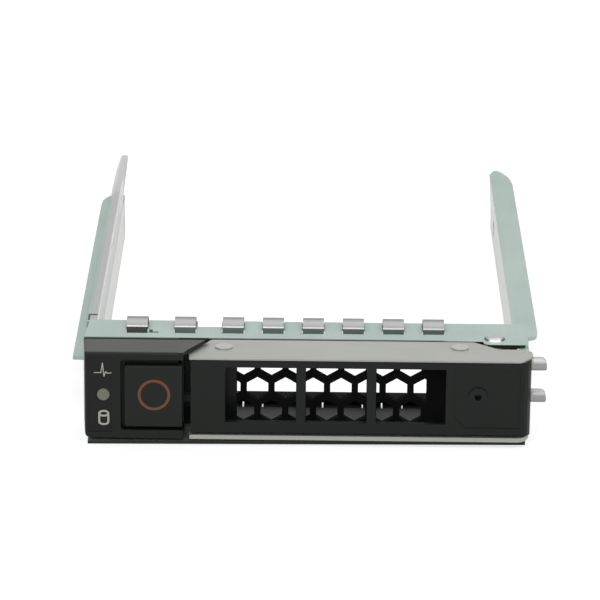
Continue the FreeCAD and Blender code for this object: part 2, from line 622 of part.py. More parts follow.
# Front housing: latch cap, floor behind it, honeycomb screen, ribs and rear bar.
cap = prism("cap_block", "xy", [
    ("cap_left", "0"), ("cap_right", "0"), ("cap_right", "cap_back"),
    ("cap_left - cap_flare", "cap_back")], "cap_bottom", "cap_top")
cap = round_edges("cap_round", cap, [
    ("mid", "cap_left - cap_flare / 2", "cap_back / 2", "cap_bottom", "cap_corner_r"),
    ("mid", "cap_left - cap_flare / 2", "cap_back / 2", "cap_top", "cap_corner_r / 2"),
    ("yz", "0", "cap_top", "cap_corner_r / 2"),
    ("xy", "cap_left", "0", "cap_corner_r / 2"),
    ("yz", "0", "cap_bottom", "cap_corner_r / 2")])
opening = box("button_opening", "opening_left", "cap_right + 1", "-1", "cap_wall + 1",
              "opening_low", "opening_high")
cap_tools = [
    box("latch_well", "well_left", "cap_right - cap_cheek", "cap_wall", "cap_back + 1",
        "cap_bottom + cap_floor", "cap_top - cap_roof"),
    round_edges("opening_round", opening, [("opening_left", "opening_low", "opening_r"),
                                           ("opening_left", "opening_high", "opening_r")], "xz"),
    box("side_opening", "cap_right - 1", "cap_right + 1", "cap_wall", "cap_cheek_front",
        "opening_low", "opening_high"),
    box("nose_hole", "cap_right - 2", "cap_right + 1", "slider_front - nose_gap",
        "slider_front + nose_t + nose_gap", "nose_low - nose_gap",
        "nose_low + nose_h + nose_gap"),
    box("pipe_channel", "lens_x - pipe_w / 2 - channel_gap", "lens_x + pipe_w / 2 + channel_gap",
        "lens_l", "cap_back + 1", "mid_z - pipe_h / 2 - channel_gap",
        "mid_z + pipe_h / 2 + channel_gap"),
    box("label_pocket", "label_left", "label_left + label_w", "-1", "label_inset + label_t",
        "label_low", "label_low + label_h"),
    rod("lens_hole", "lens_x", "0", "mid_z", "lens_r", "lens_l", "y"),
]
cap = cut("cap_shell", cap, cap_tools)
eave = prism("eave", "xy", outline("eave"), "cap_top - eave_t", "cap_top")
tail = [
    box("tail_floor", "tail_left", "tail_rib + tail_rib_w", "cap_back - cap_floor", "bar_front",
        "sheet", "sheet + tail_floor"),
    box("tail_wall", "tail_left", "tail_left + tail_wall", "cap_back - cap_floor", "bar_back",
        "sheet", "rail_top"),
    box("pipe_bed", "tail_left", "well_left", "cap_back - 1", "bar_back",
        "sheet", "mid_z - pipe_h / 2"),
    box("tail_rib", "tail_rib", "tail_rib + tail_rib_w", "cap_back - 1", "bar_front + 1",
        "sheet", "rib_back_top"),
    box("rear_bar", "tail_left", BAR_RIGHT, "bar_front", "bar_back", "sheet", "bar_top"),
]
RIBS = ["screen_left", "(bay_1_left + bay_1_w + rib_shift)",
        "(bay_2_left + bay_2_w + rib_shift)",
        "(screen_right - rib_w)"]
for number, left in enumerate(RIBS):
    tail.append(box(f"rib_{number}", left, f"{left} + rib_w", "screen_front + 1",
                    "bar_front + 1", "sheet", "rib_back_top"))
tail.append(box("floor", "tail_rib", BAR_RIGHT, "screen_front + 1", "bar_front + 0.5",
                "sheet", "sheet + floor_t"))
tail.append(box("wall_behind_latch", "tail_rib", "screen_left + rib_w", "wall_front",
                "bar_front", "sheet", "rib_back_top"))
tail.append(box("wall_behind_pivot", "screen_right - rib_w", "wall_right", "wall_front",
                "bar_front", "sheet", "rib_back_top"))
plate = box("screen_plate", "screen_left", "screen_right", "screen_front",
            "screen_front + screen_t", "sheet", "rib_top")
cells = []
for row in (-1, 0, 1):
    for column in range(-3, 6):
        shift = column + 0.5 * abs(row)
        cell = doc.addObject("Part::Prism", f"cell_{row + 1}_{column + 3}")
        cell.Polygon = 6
        cell.Placement.Rotation = TURNS["y"].multiply(
            FreeCAD.Rotation(FreeCAD.Vector(0, 0, 1), 90))
        cell.setExpression("Circumradius", words("hex_flat / 1.7320508"))
        cell.setExpression("Height", words("screen_t + 2"))
        place(cell, f"hex_x + {shift} * hex_pitch", "screen_front - 1", f"hex_z + {row} * hex_row")
        cells.append(cell)
BAYS = [("bay_1_left", "bay_1_w"), ("bay_2_left", "bay_2_w"), ("bay_3_left", "bay_3_w")]
bays = []
for number, (left, wide) in enumerate(BAYS):
    bays.append(box(f"bay_{number}", left, f"{left} + {wide}", "screen_front - 1",
                    "screen_front + screen_t + 1", "bay_low", "bay_high"))
screen = cut("screen", plate, [common("cells_in_bays", group("cells", cells),
                                      group("bays", bays))])
housing_cuts = []
for number, middle in enumerate(FINGERS[2:]):
    for side, edge in (("left", f"({middle} - slot_w / 2)"),
                       ("right", f"({middle} + slot_w / 2 - slit_w)")):
        housing_cuts.append(box(f"slit_{side}_{number}", edge, f"{edge} + slit_w", "slit_front",
                                "bar_back + 1", "sheet / 2", "slit_top"))
for number, (x, y) in enumerate(STAKES):
    housing_cuts.append(rod(f"stake_bore_{number}", x, y, "0", "stake_r", "stake_h"))
housing_cuts.append(box("latch_well_rear", "well_left", "cap_right - cap_cheek", "cap_back - 2",
                        "cap_back + 0.2", "cap_bottom + cap_floor", "cap_top - cap_roof"))
housing = cut("housing_body", fuse("housing", [cap, eave, screen] + tail), housing_cuts)
node(housing, "front_housing")

node(group("stakes", [rod(f"stake_{n}", x, y, "0", "stake_r", "stake_h")
                      for n, (x, y) in enumerate(STAKES)]), "housing_rivets")

# Inlay, lamp window and light pipe.
label = box("label_plate", "label_left", "label_left + label_w", "label_inset",
            "label_inset + label_t", "label_low", "label_low + label_h")
node(cut("label_body", label, [rod("label_hole", "lens_x", "-1", "mid_z", "lens_r", "3", "y")]),
     "cap_label")
node(rod("lens_body", "lens_x", "0", "mid_z", "lens_r", "lens_l", "y"), "status_lens")
pipe = fuse("pipe_body", [
    common("pipe_rear", prism("pipe_side", "yz", outline("rear_pipe"), "pipe_left",
                              "pipe_left + pipe_w"),
           prism("pipe_top", "xy", outline("pipe_plan"), "0", "ledge_top")),
    box("pipe_step", "pipe_left", "lens_x + pipe_w / 2", "pipe_front - pipe_jog",
        "pipe_front + 0.05", "pipe_jog_low", "pipe_jog_top"),
    box("pipe_front", "lens_x - pipe_w / 2", "lens_x + pipe_w / 2", "lens_l",
        "pipe_front", "mid_z - pipe_h / 2", "mid_z + pipe_h / 2"),
])
node(cut("pipe_marked", pipe, [
    box("mark_across", "pipe_left + mark_w", "pipe_left + mark_w + mark_l", "mark_back - mark_w",
        "mark_back", "mark_depth", "ledge_top"),
    box("mark_leg", "pipe_left + mark_w", "pipe_left + mark_w * 2", "pipe_front", "mark_back",
        "mark_depth", "ledge_top")]), "light_pipe")

# Release button: face, ears that keep it in, wedge and spring post. Its ring is let in.
face = box("button_face", "button_left", "button_left + button_w", "0", "button_t",
           "button_low", "button_low + button_h")
face = round_edges("button_round", face, [
    ("xz", "button_left", "button_low", "button_edge_r"),
    ("xz", "button_left", "button_low + button_h", "button_edge_r"),
    ("yz", "0", "button_low", "button_edge_r / 2"),
    ("yz", "0", "button_low + button_h", "button_edge_r / 2"),
    ("xy", "button_left", "0", "button_edge_r / 2")])
EAR_FRONT = "(button_t + ear_gap)"
BUTTON_RIGHT = "(button_left + button_w)"
button = fuse("button", [
    face,
    box("button_neck", "button_left + neck_inset", BUTTON_RIGHT, "button_t - neck_lap",
        EAR_FRONT, "button_low + neck_inset", "button_low + button_h - neck_inset"),
    box("button_ears", "ear_left", "cap_right - ear_right_gap", EAR_FRONT, f"{EAR_FRONT} + ear_t",
        "ear_low", "ear_high"),
    prism("button_wedge", "xy", [
        ("cam_left + cam_gap - wedge_root", "slider_front - wedge_root"),
        ("wedge_right", "slider_front - wedge_root"),
        ("wedge_right", "wedge_reach"),
        ("cam_left + cam_gap + wedge_reach - slider_front", "wedge_reach")],
        "cam_low + wedge_gap", "cam_low + cam_h - wedge_gap"),
    rod("button_post", "press_spring_x", f"{EAR_FRONT} + ear_t - neck_lap", "press_spring_z",
        "spring_post_r", "spring_post_l + neck_lap", "y"),
])
groove = cut("ring_groove", rod("ring_groove_out", "ring_x", "0", "mid_z", "ring_r", "ring_t", "y"),
             [rod("ring_groove_in", "ring_x", "-1", "mid_z", "ring_r - ring_band", "5", "y")])
node(cut("button_body", button, [groove]), "release_button")
node(cut("ring_body", rod("ring_out", "ring_x", "0", "mid_z", "ring_r", "ring_t", "y"),
         [rod("ring_in", "ring_x", "-1", "mid_z", "ring_r - ring_band", "5", "y")]),
     "button_ring")

# Latch slider: a window with one sloping side, a nose, and a post for its spring.
slider = fuse("slider", [
    box("slider_block", "slider_left", "slider_right", "slider_front", "slider_front + slider_t",
        "slider_low", "slider_low + slider_h"),
    prism("slider_nose", "xy", [
        ("slider_right - 1", "slider_front"), ("nose_tip - nose_slope", "slider_front"),
        ("nose_tip", "slider_front + nose_slope"), ("nose_tip", "slider_front + nose_t"),
        ("slider_right - 1", "slider_front + nose_t")], "nose_low", "nose_low + nose_h"),
    rod("slider_post", "slider_left - spring_post_l", "latch_spring_y", "latch_spring_z",
        "spring_post_r", "spring_post_l + 0.5", "x"),
])
window = prism("slider_window", "xy", [
    ("cam_left - 1", "slider_front - 1"), ("cam_right", "slider_front - 1"),
    ("cam_right", "slider_front + slider_t + 1"),
    ("cam_left + slider_t + 1", "slider_front + slider_t + 1")], "cam_low", "cam_low + cam_h")
node(cut("slider_body", slider, [window]), "latch_slider")

# Plate behind the latch, with a guide above and below the slider and a spring post.
cover = fuse("cover", [
    box("cover_plate", "well_left + cover_gap", "cap_right - cap_cheek - cover_gap",
        "cover_front", "cap_back", "cap_bottom + cap_floor + cover_gap",
        "cap_top - cap_roof - cover_gap"),
    box("guide_low", "slider_left", "slider_right - guide_right_gap", "slider_front + guide_front",
        "cover_front + neck_lap", "slider_low - guide_gap - guide_t", "slider_low - guide_gap"),
    box("guide_high", "slider_left", "slider_right - guide_right_gap", "slider_front + guide_front",
        "cover_front + neck_lap", "slider_low + slider_h + guide_gap",
        "slider_low + slider_h + guide_gap + guide_t"),
    rod("cover_post", "press_spring_x", "cover_front - cover_post_l", "press_spring_z",
        "spring_post_r", "cover_post_l + neck_lap", "y"),
])
node(cover, "latch_cover")

PRESS_FROM = f"({EAR_FRONT} + ear_t)"
node(coil("press_coil", "spring_r", "wire_r", "press_turns",
          minus(PRESS_FROM, "cover_front"), "y", "press_spring_x", f"{PRESS_FROM} + wire_r",
          "press_spring_z"), "button_spring")
node(coil("latch_coil", "spring_r", "wire_r", "latch_turns", minus("well_left", "slider_left"),
          "x", "well_left + wire_r", "latch_spring_y", "latch_spring_z"), "latch_spring")

# Handle: one folded steel piece with flanges, web, prongs and two pivot lugs.
WEB_BACK = "(web_front + handle_sheet)"
LUG_LOW = "(lug_low_top - handle_sheet)"
LOW_TOP = "(handle_low + handle_sheet)"
lugs = []
for name, low in (("high", LUG_LOW), ("low", "handle_low")):
    lugs.append(box(f"lug_{name}", "pivot_x - lug_r", "pivot_x + lug_r", "web_front", "pivot_y",
                    low, f"{low} + handle_sheet"))
    lugs.append(rod(f"lug_end_{name}", "pivot_x", "pivot_y", low, "lug_r", "handle_sheet"))
prongs = []
for name, low in (("low", "prong_1_low"), ("high", "prong_2_low")):
    arm = box(f"prong_{name}", "web_right - 0.5", "prong_tip", "prong_front",
              "prong_front + prong_t", low, f"{low} + prong_h")
    prongs.append(round_edges(f"prong_round_{name}", arm, [
        ("xz", "prong_tip", f"{low} + prong_h", "prong_r"),
        ("xz", "prong_tip", low, "prong_r * 0.6"),
        ("yz", "prong_front", f"{low} + prong_h", "prong_edge_r"),
        ("yz", "prong_front", low, "prong_edge_r")]))
    prongs.append(box(f"prong_root_{name}", "prong_root", "web_right", "web_front",
                      "prong_front + prong_t", low, f"{low} + prong_h"))
web = box("web", "web_left", "web_right", "web_front", WEB_BACK, "handle_low",
          "handle_top - lip_t")
frame = fuse("handle", [
    prism("top_flange", "xy", outline("flange"), "handle_top - handle_sheet", "handle_top"),
    prism("top_lip", "xy", outline("lip"), "handle_top - lip_t", "handle_top"),
    prism("bottom_flange", "xy", outline("low_flange"), "handle_low", LOW_TOP),
    web,
    rod("emboss_left", "emboss_1_x", "emboss_1_y", "handle_top - 0.1", "emboss_r",
        "emboss_h + 0.1"),
    rod("emboss_right", "emboss_2_x", "emboss_2_y", "handle_top - 0.1", "emboss_r",
        "emboss_h + 0.1"),
] + lugs + prongs)
handle_body = cut("handle_body", frame, [
    box("web_hole", "web_hole_left", "web_hole_right", "web_front - 1", f"{WEB_BACK} + 1",
        "web_hole_low", "web_hole_high"),
    rod("lug_bore", "pivot_x", "pivot_y", "-1", "pivot_r + pivot_play", "20"),
    rod("boss_hole_web", "boss_x", "0", "boss_z", "boss_shank_r", "5", "y"),
])
node(handle_body, "handle_frame")

# Fascia: black front of the handle, with three windows and a cheek that the nose enters.
skin = fuse("fascia_skin", [
    round_edges("fascia_round", prism("fascia_plan", "xy", [
        ("fascia_left", "fascia_front"), ("fascia_flat_end", "fascia_front"),
        ("fascia_flat_end + 0.69", "fascia_front + 0.14"),
        ("fascia_flat_end + 1.27", "fascia_front + 0.53"),
        ("fascia_flat_end + 1.66", "fascia_front + 1.11"),
        ("fascia_right", "prong_front - 0.2"),
        ("fascia_flat_end + 0.3", "prong_front - 0.2"),
        ("fascia_flat_end + 0.3", "web_front"),
        ("fascia_left", "web_front")], "fascia_low", "fascia_high"), [
            ("yz", "fascia_front", "fascia_low", "fascia_edge_r"),
            ("yz", "fascia_front", "fascia_high", "fascia_edge_r")]),
    box("fascia_cheek", "fascia_left", "fascia_left + fascia_cheek", "fascia_front",
        "fascia_cheek_back", "fascia_low", "fascia_cheek_high"),
])
WINDOWS = [("window_left", "bar_1_left"), ("bar_1_left + bar_1_w", "bar_2_left"),
           ("bar_2_left + bar_2_w", "window_right")]
fascia_cuts = [box(f"window_{n}", left, right, "-1", "web_front + 1", "window_low",
                   "window_high") for n, (left, right) in enumerate(WINDOWS)]
fascia_cuts.append(prism("recess", "xz", outline("recess"), "-1", "fascia_front + recess_t"))
fascia_cuts.append(box("keeper", "fascia_left - 1", "fascia_left + 2",
                       "slider_front - nose_gap", "slider_front + nose_t + nose_gap",
                       "nose_low - nose_gap", "nose_low + nose_h + nose_gap"))
fascia_cuts.append(rod("boss_hole_fascia", "boss_x", "-1", "boss_z", "boss_shank_r", "5", "y"))
node(cut("fascia_body", skin, fascia_cuts), "handle_fascia")

boss = fuse("boss", [
    rod("boss_head", "boss_x", "0", "boss_z", "boss_r", "fascia_front + recess_t", "y"),
    rod("boss_shank", "boss_x", "0", "boss_z", "boss_shank_r", "boss_back", "y")])
node(cut("boss_body", boss, [rod("boss_bore", "boss_x", "-1", "boss_z", "boss_bore_r", "2.2",
                                 "y")]), "fascia_rivet")

# Pivot: pin, washer under the ledge, sleeve between the lugs.
pin_head = doc.addObject("Part::Cone", "pin_head")
pin_head.setExpression("Radius1", words("pivot_head_r"))
pin_head.setExpression("Radius2", words("pivot_head_r - pivot_head_slope"))
pin_head.setExpression("Height", words("pivot_head_h"))
place(pin_head, "pivot_x", "pivot_y", "ledge_top")
node(fuse("pin_body", [
    rod("pin_shaft", "pivot_x", "pivot_y", "0", "pivot_r", "ledge_top + 0.1"), pin_head]),
    "pivot_pin")
node(cut("washer_body", rod("washer", "pivot_x", "pivot_y", "lug_low_top + pivot_play",
                            "lug_r", "ledge_top - sheet - lug_low_top - pivot_play"),
         [rod("washer_bore", "pivot_x", "pivot_y", "10", "pivot_r", "9")]), "pivot_washer")
node(cut("sleeve_body", rod("sleeve", "pivot_x", "pivot_y", LOW_TOP, "sleeve_r",
                            minus(LOW_TOP, LUG_LOW)),
         [rod("sleeve_bore", "pivot_x", "pivot_y", "0", "pivot_r + pivot_play", "20")]),
     "pivot_sleeve")

doc.recompute()
for item in doc.Objects:
    if "Invalid" in item.State or "Error" in item.State:
        raise RuntimeError(f"{item.Label} did not build: {item.State}")
os.makedirs("parts", exist_ok=True)
for item in NODES:
    if item.Shape.isNull() or not item.Shape.isValid():
        raise RuntimeError(f"{item.Label} has no valid shape")
    item.Shape.exportStep(f"parts/{item.Label}.step")
    bounds = item.Shape.BoundBox
    print(item.Label, len(item.Shape.Solids), round(item.Shape.Volume, 2),
          [round(v, 2) for v in (bounds.XMin, bounds.XMax, bounds.YMin, bounds.YMax,
                                 bounds.ZMin, bounds.ZMax)])
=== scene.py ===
# %% [markdown]
# # A hot swap drive caddy
# The caddy carries a 2.5-inch drive into a server. Zinc-coated sheet makes the tray and its
# rails, a folded steel handle locks it in, and black mouldings close the front. The solid
# parts arrive as a finished frame. This lesson gives them their finishes, adds the printed
# signs and the smooth spring fingers, then sets the camera, the floor and the lamps.
#
# Places are given in millimetres: across from the middle, deep from the front face, and high
# from the table. `MM` turns them into Blender's metres.

# %% Load the frame
import json
import math

import bmesh
import bpy
from mathutils import Matrix, Vector


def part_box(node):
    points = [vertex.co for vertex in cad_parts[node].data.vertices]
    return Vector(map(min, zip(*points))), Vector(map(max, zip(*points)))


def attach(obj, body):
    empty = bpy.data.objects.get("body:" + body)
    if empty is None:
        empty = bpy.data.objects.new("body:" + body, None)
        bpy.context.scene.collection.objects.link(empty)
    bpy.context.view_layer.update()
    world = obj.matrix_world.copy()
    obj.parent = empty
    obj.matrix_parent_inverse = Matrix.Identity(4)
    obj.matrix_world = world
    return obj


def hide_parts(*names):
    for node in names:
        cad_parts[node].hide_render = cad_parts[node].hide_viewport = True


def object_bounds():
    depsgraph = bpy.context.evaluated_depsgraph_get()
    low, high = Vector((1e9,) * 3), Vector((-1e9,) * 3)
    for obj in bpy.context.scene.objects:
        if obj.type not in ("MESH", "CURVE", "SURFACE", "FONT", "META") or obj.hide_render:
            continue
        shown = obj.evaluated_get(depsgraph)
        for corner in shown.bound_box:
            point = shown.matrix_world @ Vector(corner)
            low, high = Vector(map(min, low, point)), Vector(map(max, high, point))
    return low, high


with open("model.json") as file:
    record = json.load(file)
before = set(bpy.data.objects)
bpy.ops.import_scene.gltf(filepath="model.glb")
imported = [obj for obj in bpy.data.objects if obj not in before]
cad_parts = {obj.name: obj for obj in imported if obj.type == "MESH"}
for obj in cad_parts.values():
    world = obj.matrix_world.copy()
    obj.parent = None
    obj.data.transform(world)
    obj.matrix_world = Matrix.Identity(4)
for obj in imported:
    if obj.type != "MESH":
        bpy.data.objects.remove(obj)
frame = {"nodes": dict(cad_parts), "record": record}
START_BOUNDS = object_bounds()
MM = 0.001
PART = frame["nodes"]
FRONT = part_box("front_housing")[0][1]
SPAN = [round((high - low) / MM, 1) for low, high in zip(*START_BOUNDS)]
print("parts:", len(PART), "size in mm:", SPAN)

# %% [markdown]
# ## One way to add a node
# A material, a room and a repeated shape are all small programs drawn with nodes. They could
# be joined by hand in the editor, but a script can be read again and run again. One method
# adds any node: it takes the node's type, then its settings, then what its sockets hold,
# because some sockets appear only once a setting is made.

# %% A tree of nodes
class Tree:
    def __init__(self, tree):
        self.tree = tree
        tree.nodes.clear()

    def put(self, socket, item):
        """Join a value or a socket to this socket, or write a plain number into it."""
        if isinstance(item, Value):
            item = item.socket
        if isinstance(item, bpy.types.NodeSocket):
            self.tree.links.new(item, socket)
        else:
            socket.default_value = item

    def add(self, kind, settings=None, sockets=None):
        node = self.tree.nodes.new(kind)
        for key, item in (settings or {}).items():
            setattr(node, key, item)
        for key, item in (sockets or {}).items():
            self.put(node.inputs[key], item)
        return node

    def value(self, kind, output, settings=None, sockets=None):
        return Value(self, self.add(kind, settings, sockets).outputs[output])


print("a tree of nodes can be filled")

# %% [markdown]
# ## Shader maths as plain expressions
# Sums in a material need a Math node each, and a row of those hides the idea. So one class
# wraps a socket and turns Python's operators into Math nodes. `1 - mask` then reads as it
# would on paper. Numbers that don't change over the surface stay in Python.

# %% A socket that can do sums
class Value:
    def __init__(self, home, socket):
        self.home = home
        self.socket = socket

    def _math(self, operation, first, second):
        return self.home.value("ShaderNodeMath", 0, {"operation": operation},
                               {0: first, 1: second})

    def __add__(self, other):
        return self._math("ADD", self, other)

    def __radd__(self, other):
        return self._math("ADD", other, self)

    def __sub__(self, other):
        return self._math("SUBTRACT", self, other)

    def __rsub__(self, other):
        return self._math("SUBTRACT", other, self)

    def __mul__(self, other):
        return self._math("MULTIPLY", self, other)

    def __rmul__(self, other):
        return self._math("MULTIPLY", other, self)


print("values can be added, subtracted and multiplied")

# %% [markdown]
# ## A finish knows where it is
# Many marks on the caddy sit at one place: a raw edge, a fold, a lip. They could be painted
# on an image, but that needs a flat map of each piece. Object coordinates and the face's
# direction are there for nothing, so a finish asks how far across, deep and high a point
# lies and which way its face looks, and fades a mask in and out at named places.

# %% A material with its places and masks
class Finish(Tree):
    def __init__(self, name):
        self.material = bpy.data.materials.new(name)
        self.material.use_nodes = True
        super().__init__(self.material.node_tree)
        self.surface = self.add("ShaderNodeBsdfPrincipled")
        self.output = self.add("ShaderNodeOutputMaterial", None, {0: self.surface.outputs[0]})
        self.place = self.value("ShaderNodeTexCoord", "Object")
        facing = self.value("ShaderNodeNewGeometry", "True Normal")
        self.across, self.depth, self.height = self.split(self.place)
        self.side, self.back, self.up = self.split(facing)

    def split(self, vector):
        parts = self.add("ShaderNodeSeparateXYZ", None, {"Vector": vector})
        return [Value(self, parts.outputs[axis]) for axis in "XYZ"]

    def noise(self, scale, detail, stretch=(1, 1, 1)):
        where = self.add("ShaderNodeMapping", None, {"Vector": self.place, "Scale": stretch})
        return self.value("ShaderNodeTexNoise", "Fac", None,
                          {"Vector": where.outputs[0], "Scale": scale, "Detail": detail})

    def mix(self, factor, first, second):
        """The first colour at nought, the second at one. The node's colour sockets are
        numbered 6 and 7, and its colour comes out at 2."""
        return self.value("ShaderNodeMix", 2, {"data_type": "RGBA"},
                          {0: factor, 6: first, 7: second})

    def fade(self, item, low, high):
        """Nought below the low value, one above the high one, smooth between."""
        return self.value("ShaderNodeMapRange", "Result", {"interpolation_type": "SMOOTHSTEP"},
                          {"Value": item, "From Min": low, "From Max": high})

    def past_x(self, start, soft=0.1):
        """One to the right of a place, nought to its left."""
        return self.fade(self.across, start * MM, (start + soft) * MM)

    def past_y(self, start, soft=0.1):
        """One behind a depth, nought before it."""
        return self.fade(self.depth, FRONT + start * MM, FRONT + (start + soft) * MM)

    def past_z(self, start, soft=0.1):
        """One above a height, nought below it."""
        return self.fade(self.height, start * MM, (start + soft) * MM)

    def bump(self, height, strength, distance=0.2 * MM):
        """Grain as a tilt of the surface, for what is too small to model."""
        return self.add("ShaderNodeBump", None, {"Height": height, "Strength": strength,
                                                 "Distance": distance}).outputs[0]

    def set(self, **sockets):
        """Fill the surface's sockets, named with _ for a space, and give the material."""
        for key, item in sockets.items():
            self.put(self.surface.inputs[key.replace("_", " ")], item)
        return self.material


print("a finish knows", ("across", "depth", "height", "side", "back", "up"))

# %% [markdown]
# ## Colours as they look
# A screen's numbers rise faster than the light they stand for, and Blender wants the light.
# A colour could be picked in the panel, which converts it unseen. Here one function does the
# same sum, so each tone can be written from 0 to 255, as anyone would read it off a screen.

# %% From a screen's numbers to light
def colour(red, green, blue):
    def straight(part):
        part = part / 255
        return part / 12.92 if part <= 0.04045 else ((part + 0.055) / 1.055) ** 2.4
    return (straight(red), straight(green), straight(blue), 1.0)


print("mid grey gives light of", round(colour(128, 128, 128)[0], 3))

# %% [markdown]
# ## Zinc sheet
# The tray and the bracket are pressed from steel sheet with a thin coat of zinc. It is satin,
# a little green, and shows faint cloudy spangle with fine rolling lines along the sheet. A
# scanned texture could show both, but two noises are enough: one stretched along the sheet
# for the lines, a wide one for the clouds. They only nudge the colour and the roughness,
# because a strong pattern would look like paint.
#
# Faces near the front that look forward, on the base plate and the ledge, are darker: partly
# the raw edge that shearing leaves, partly painted shade. A thin painted shadow line lies on
# the lip of the ledge. Faces that look inwards, and the fold along the left rail, get a painted
# reflection of the pale bay and are lighter. A face looks inwards when its direction and its
# place across have opposite signs, so their product, made larger by a gain, is the mask.

# %% Zinc sheet
SHEET = colour(152, 170, 163), colour(182, 196, 190)
RAW_EDGE_SHADE = colour(36, 38, 32), colour(58, 60, 52)
BAY_REFLECTION = colour(212, 214, 211)
LIP_SHADOW = colour(88, 98, 92)
RAW_EDGE_SHADE_BACK = 12.0
FOLD_LEFT, FOLD_RIGHT, FOLD_FRONT = -35.7, -34.9, 60.0
LIP_LOW, LIP_FRONT, LIP_BACK, LIP_RIGHT = 13.8, 10.4, 10.75, 22.0
INWARD_GAIN = -30


def zinc_sheet():
    f = Finish("zinc sheet")
    clouds = f.noise(scale=90, detail=4)
    lines = f.noise(scale=600, detail=2, stretch=(6, 0.25, 6))
    tone = 0.6 * clouds + 0.4 * lines
    # Faces near the front that look forward: the raw cut edge and painted shade.
    raw_edge_shade = f.fade(-1 * f.back, 0.8, 0.9) * (1 - f.past_y(RAW_EDGE_SHADE_BACK, 1))
    base = f.mix(raw_edge_shade, f.mix(tone, *SHEET), f.mix(tone, *RAW_EDGE_SHADE))
    # Painted reflection of the pale bay on inward faces and on the left rail's fold.
    inward = f.fade(f.side * f.across * INWARD_GAIN, 0.7, 0.9)
    fold = f.past_x(FOLD_LEFT) * (1 - f.past_x(FOLD_RIGHT)) * f.past_y(FOLD_FRONT, 1)
    base = f.mix(inward + fold * (1 - inward), base, BAY_REFLECTION)
    # Painted shadow line along the lip of the ledge.
    lip_shadow = f.past_z(LIP_LOW) * f.past_y(LIP_FRONT, 0.05) * (1 - f.past_y(LIP_BACK, 0.25))
    base = f.mix(lip_shadow * (1 - f.past_x(LIP_RIGHT, 1)), base, LIP_SHADOW)
    return f.set(Base_Color=base, Metallic=0.75, Roughness=0.36 + 0.16 * tone,
                 Normal=f.bump(lines, 0.08))


FINISHES = {"zinc_sheet": zinc_sheet()}
print("zinc sheet nodes:", len(FINISHES["zinc_sheet"].node_tree.nodes))

# %% [markdown]
# ## Handle steel
# The handle is folded from bare steel with a brushed face. Brushing could be cut as fine
# grooves, but they would be far too many, so a noise stretched along the flange feeds the
# colour and a Bump node. The lower flange and the tops of the two raised discs get a painted
# lighter tone, and the prongs at the right, pinched round, get a painted highlight on their
# upper side.

# %% Handle steel
BRUSHED = colour(149, 150, 145), colour(178, 179, 173)
LOWER_FLANGE_LIGHT = colour(172, 174, 167)
DISC_HIGHLIGHT = colour(176, 177, 173)
PRONG_SHADED, PRONG_LIT = colour(160, 159, 161), colour(188, 188, 188)
PRONG_WORN = colour(150, 149, 151)
LOWER_TOP, DISC_LOW, PRONG_LEFT = 2.0, 15.03, 36.75


def handle_steel():
    f = Finish("handle steel")
    brushed = f.noise(scale=500, detail=3, stretch=(0.2, 5, 5))
    tone = 0.5 * f.noise(scale=60, detail=3) + 0.5 * brushed
    # Painted lighter tone on the lower flange.
    base = f.mix(f.past_z(LOWER_TOP, 1), LOWER_FLANGE_LIGHT, f.mix(tone, *BRUSHED))
    # Painted highlight on the tops of the raised discs.
    base = f.mix(f.past_z(DISC_LOW, 0.05), base, DISC_HIGHLIGHT)
    # Painted highlight on the prongs' upper side, painted shade below.
    prong_highlight = f.mix(f.fade(f.up, 0.15, 0.6), PRONG_SHADED, PRONG_LIT)
    base = f.mix(f.past_x(PRONG_LEFT, 0.05), base, f.mix(0.3 * tone, prong_highlight, PRONG_WORN))
    return f.set(Base_Color=base, Metallic=0.7, Roughness=0.38 + 0.14 * tone,
                 Normal=f.bump(brushed, 0.1))


FINISHES["handle_steel"] = handle_steel()
print("handle steel nodes:", len(FINISHES["handle_steel"].node_tree.nodes))

# %% [markdown]
# ## Spring steel
# The fingers are thin hard strip, rolled bright. On the real part each arch mirrors a whole
# room. A small scene has little to mirror, so the bands that a room would give are painted
# by height and direction: a bright line at the bend, a grey crest, and a dark front and
# sides. The first finger stands in the cap's shade, so its front is darker than the rest.

# %% Spring steel
CREST = colour(134, 132, 134), colour(148, 146, 148)
BEND, GLINT = colour(150, 151, 150), colour(196, 196, 195)
DARK_FRONT, SAGE_FRONT = colour(46, 48, 44), colour(66, 76, 73)
DARK_SIDE = colour(40, 42, 39)
BEND_LOW, GLINT_TOP, FIRST_FINGER_END = 14.95, 15.15, -26.0


def spring_steel():
    f = Finish("spring steel")
    fine = f.noise(scale=900, detail=2, stretch=(0.3, 4, 4))
    bend = f.mix(f.fade(f.back, -0.65, -0.2), BEND, f.mix(fine, *CREST))
    bend = f.mix(f.past_z(GLINT_TOP, 0.15), GLINT, bend)
    front = f.mix(f.past_x(FIRST_FINGER_END, 2), DARK_FRONT, SAGE_FRONT)
    base = f.mix(f.past_z(BEND_LOW, 0.15), front, bend)
    base = f.mix(f.fade(f.side * f.side, 0.3, 0.6), base, DARK_SIDE)
    return f.set(Base_Color=base, Metallic=0.9, Roughness=0.3 + 0.1 * fine,
                 Normal=f.bump(fine, 0.04, 0.1 * MM))


FINISHES["spring_steel"] = spring_steel()
print("spring steel nodes:", len(FINISHES["spring_steel"].node_tree.nodes))

# %% [markdown]
# ## Rivet steel
# The pivot's head is set by a press, which leaves it a rounded rim. The middle has an uneven
# worn tone. The rim could be a piece of its own, but it is the same metal, so a mask on faces
# that lean outwards gives it a painted highlight, and painted shade where it turns to the side.

# %% Rivet steel
WORN = colour(166, 174, 168), colour(192, 200, 194)
RIM_HIGHLIGHT, RIM_SIDE_SHADE = colour(212, 214, 210), colour(104, 108, 103)
RIM_TOP = 14.92


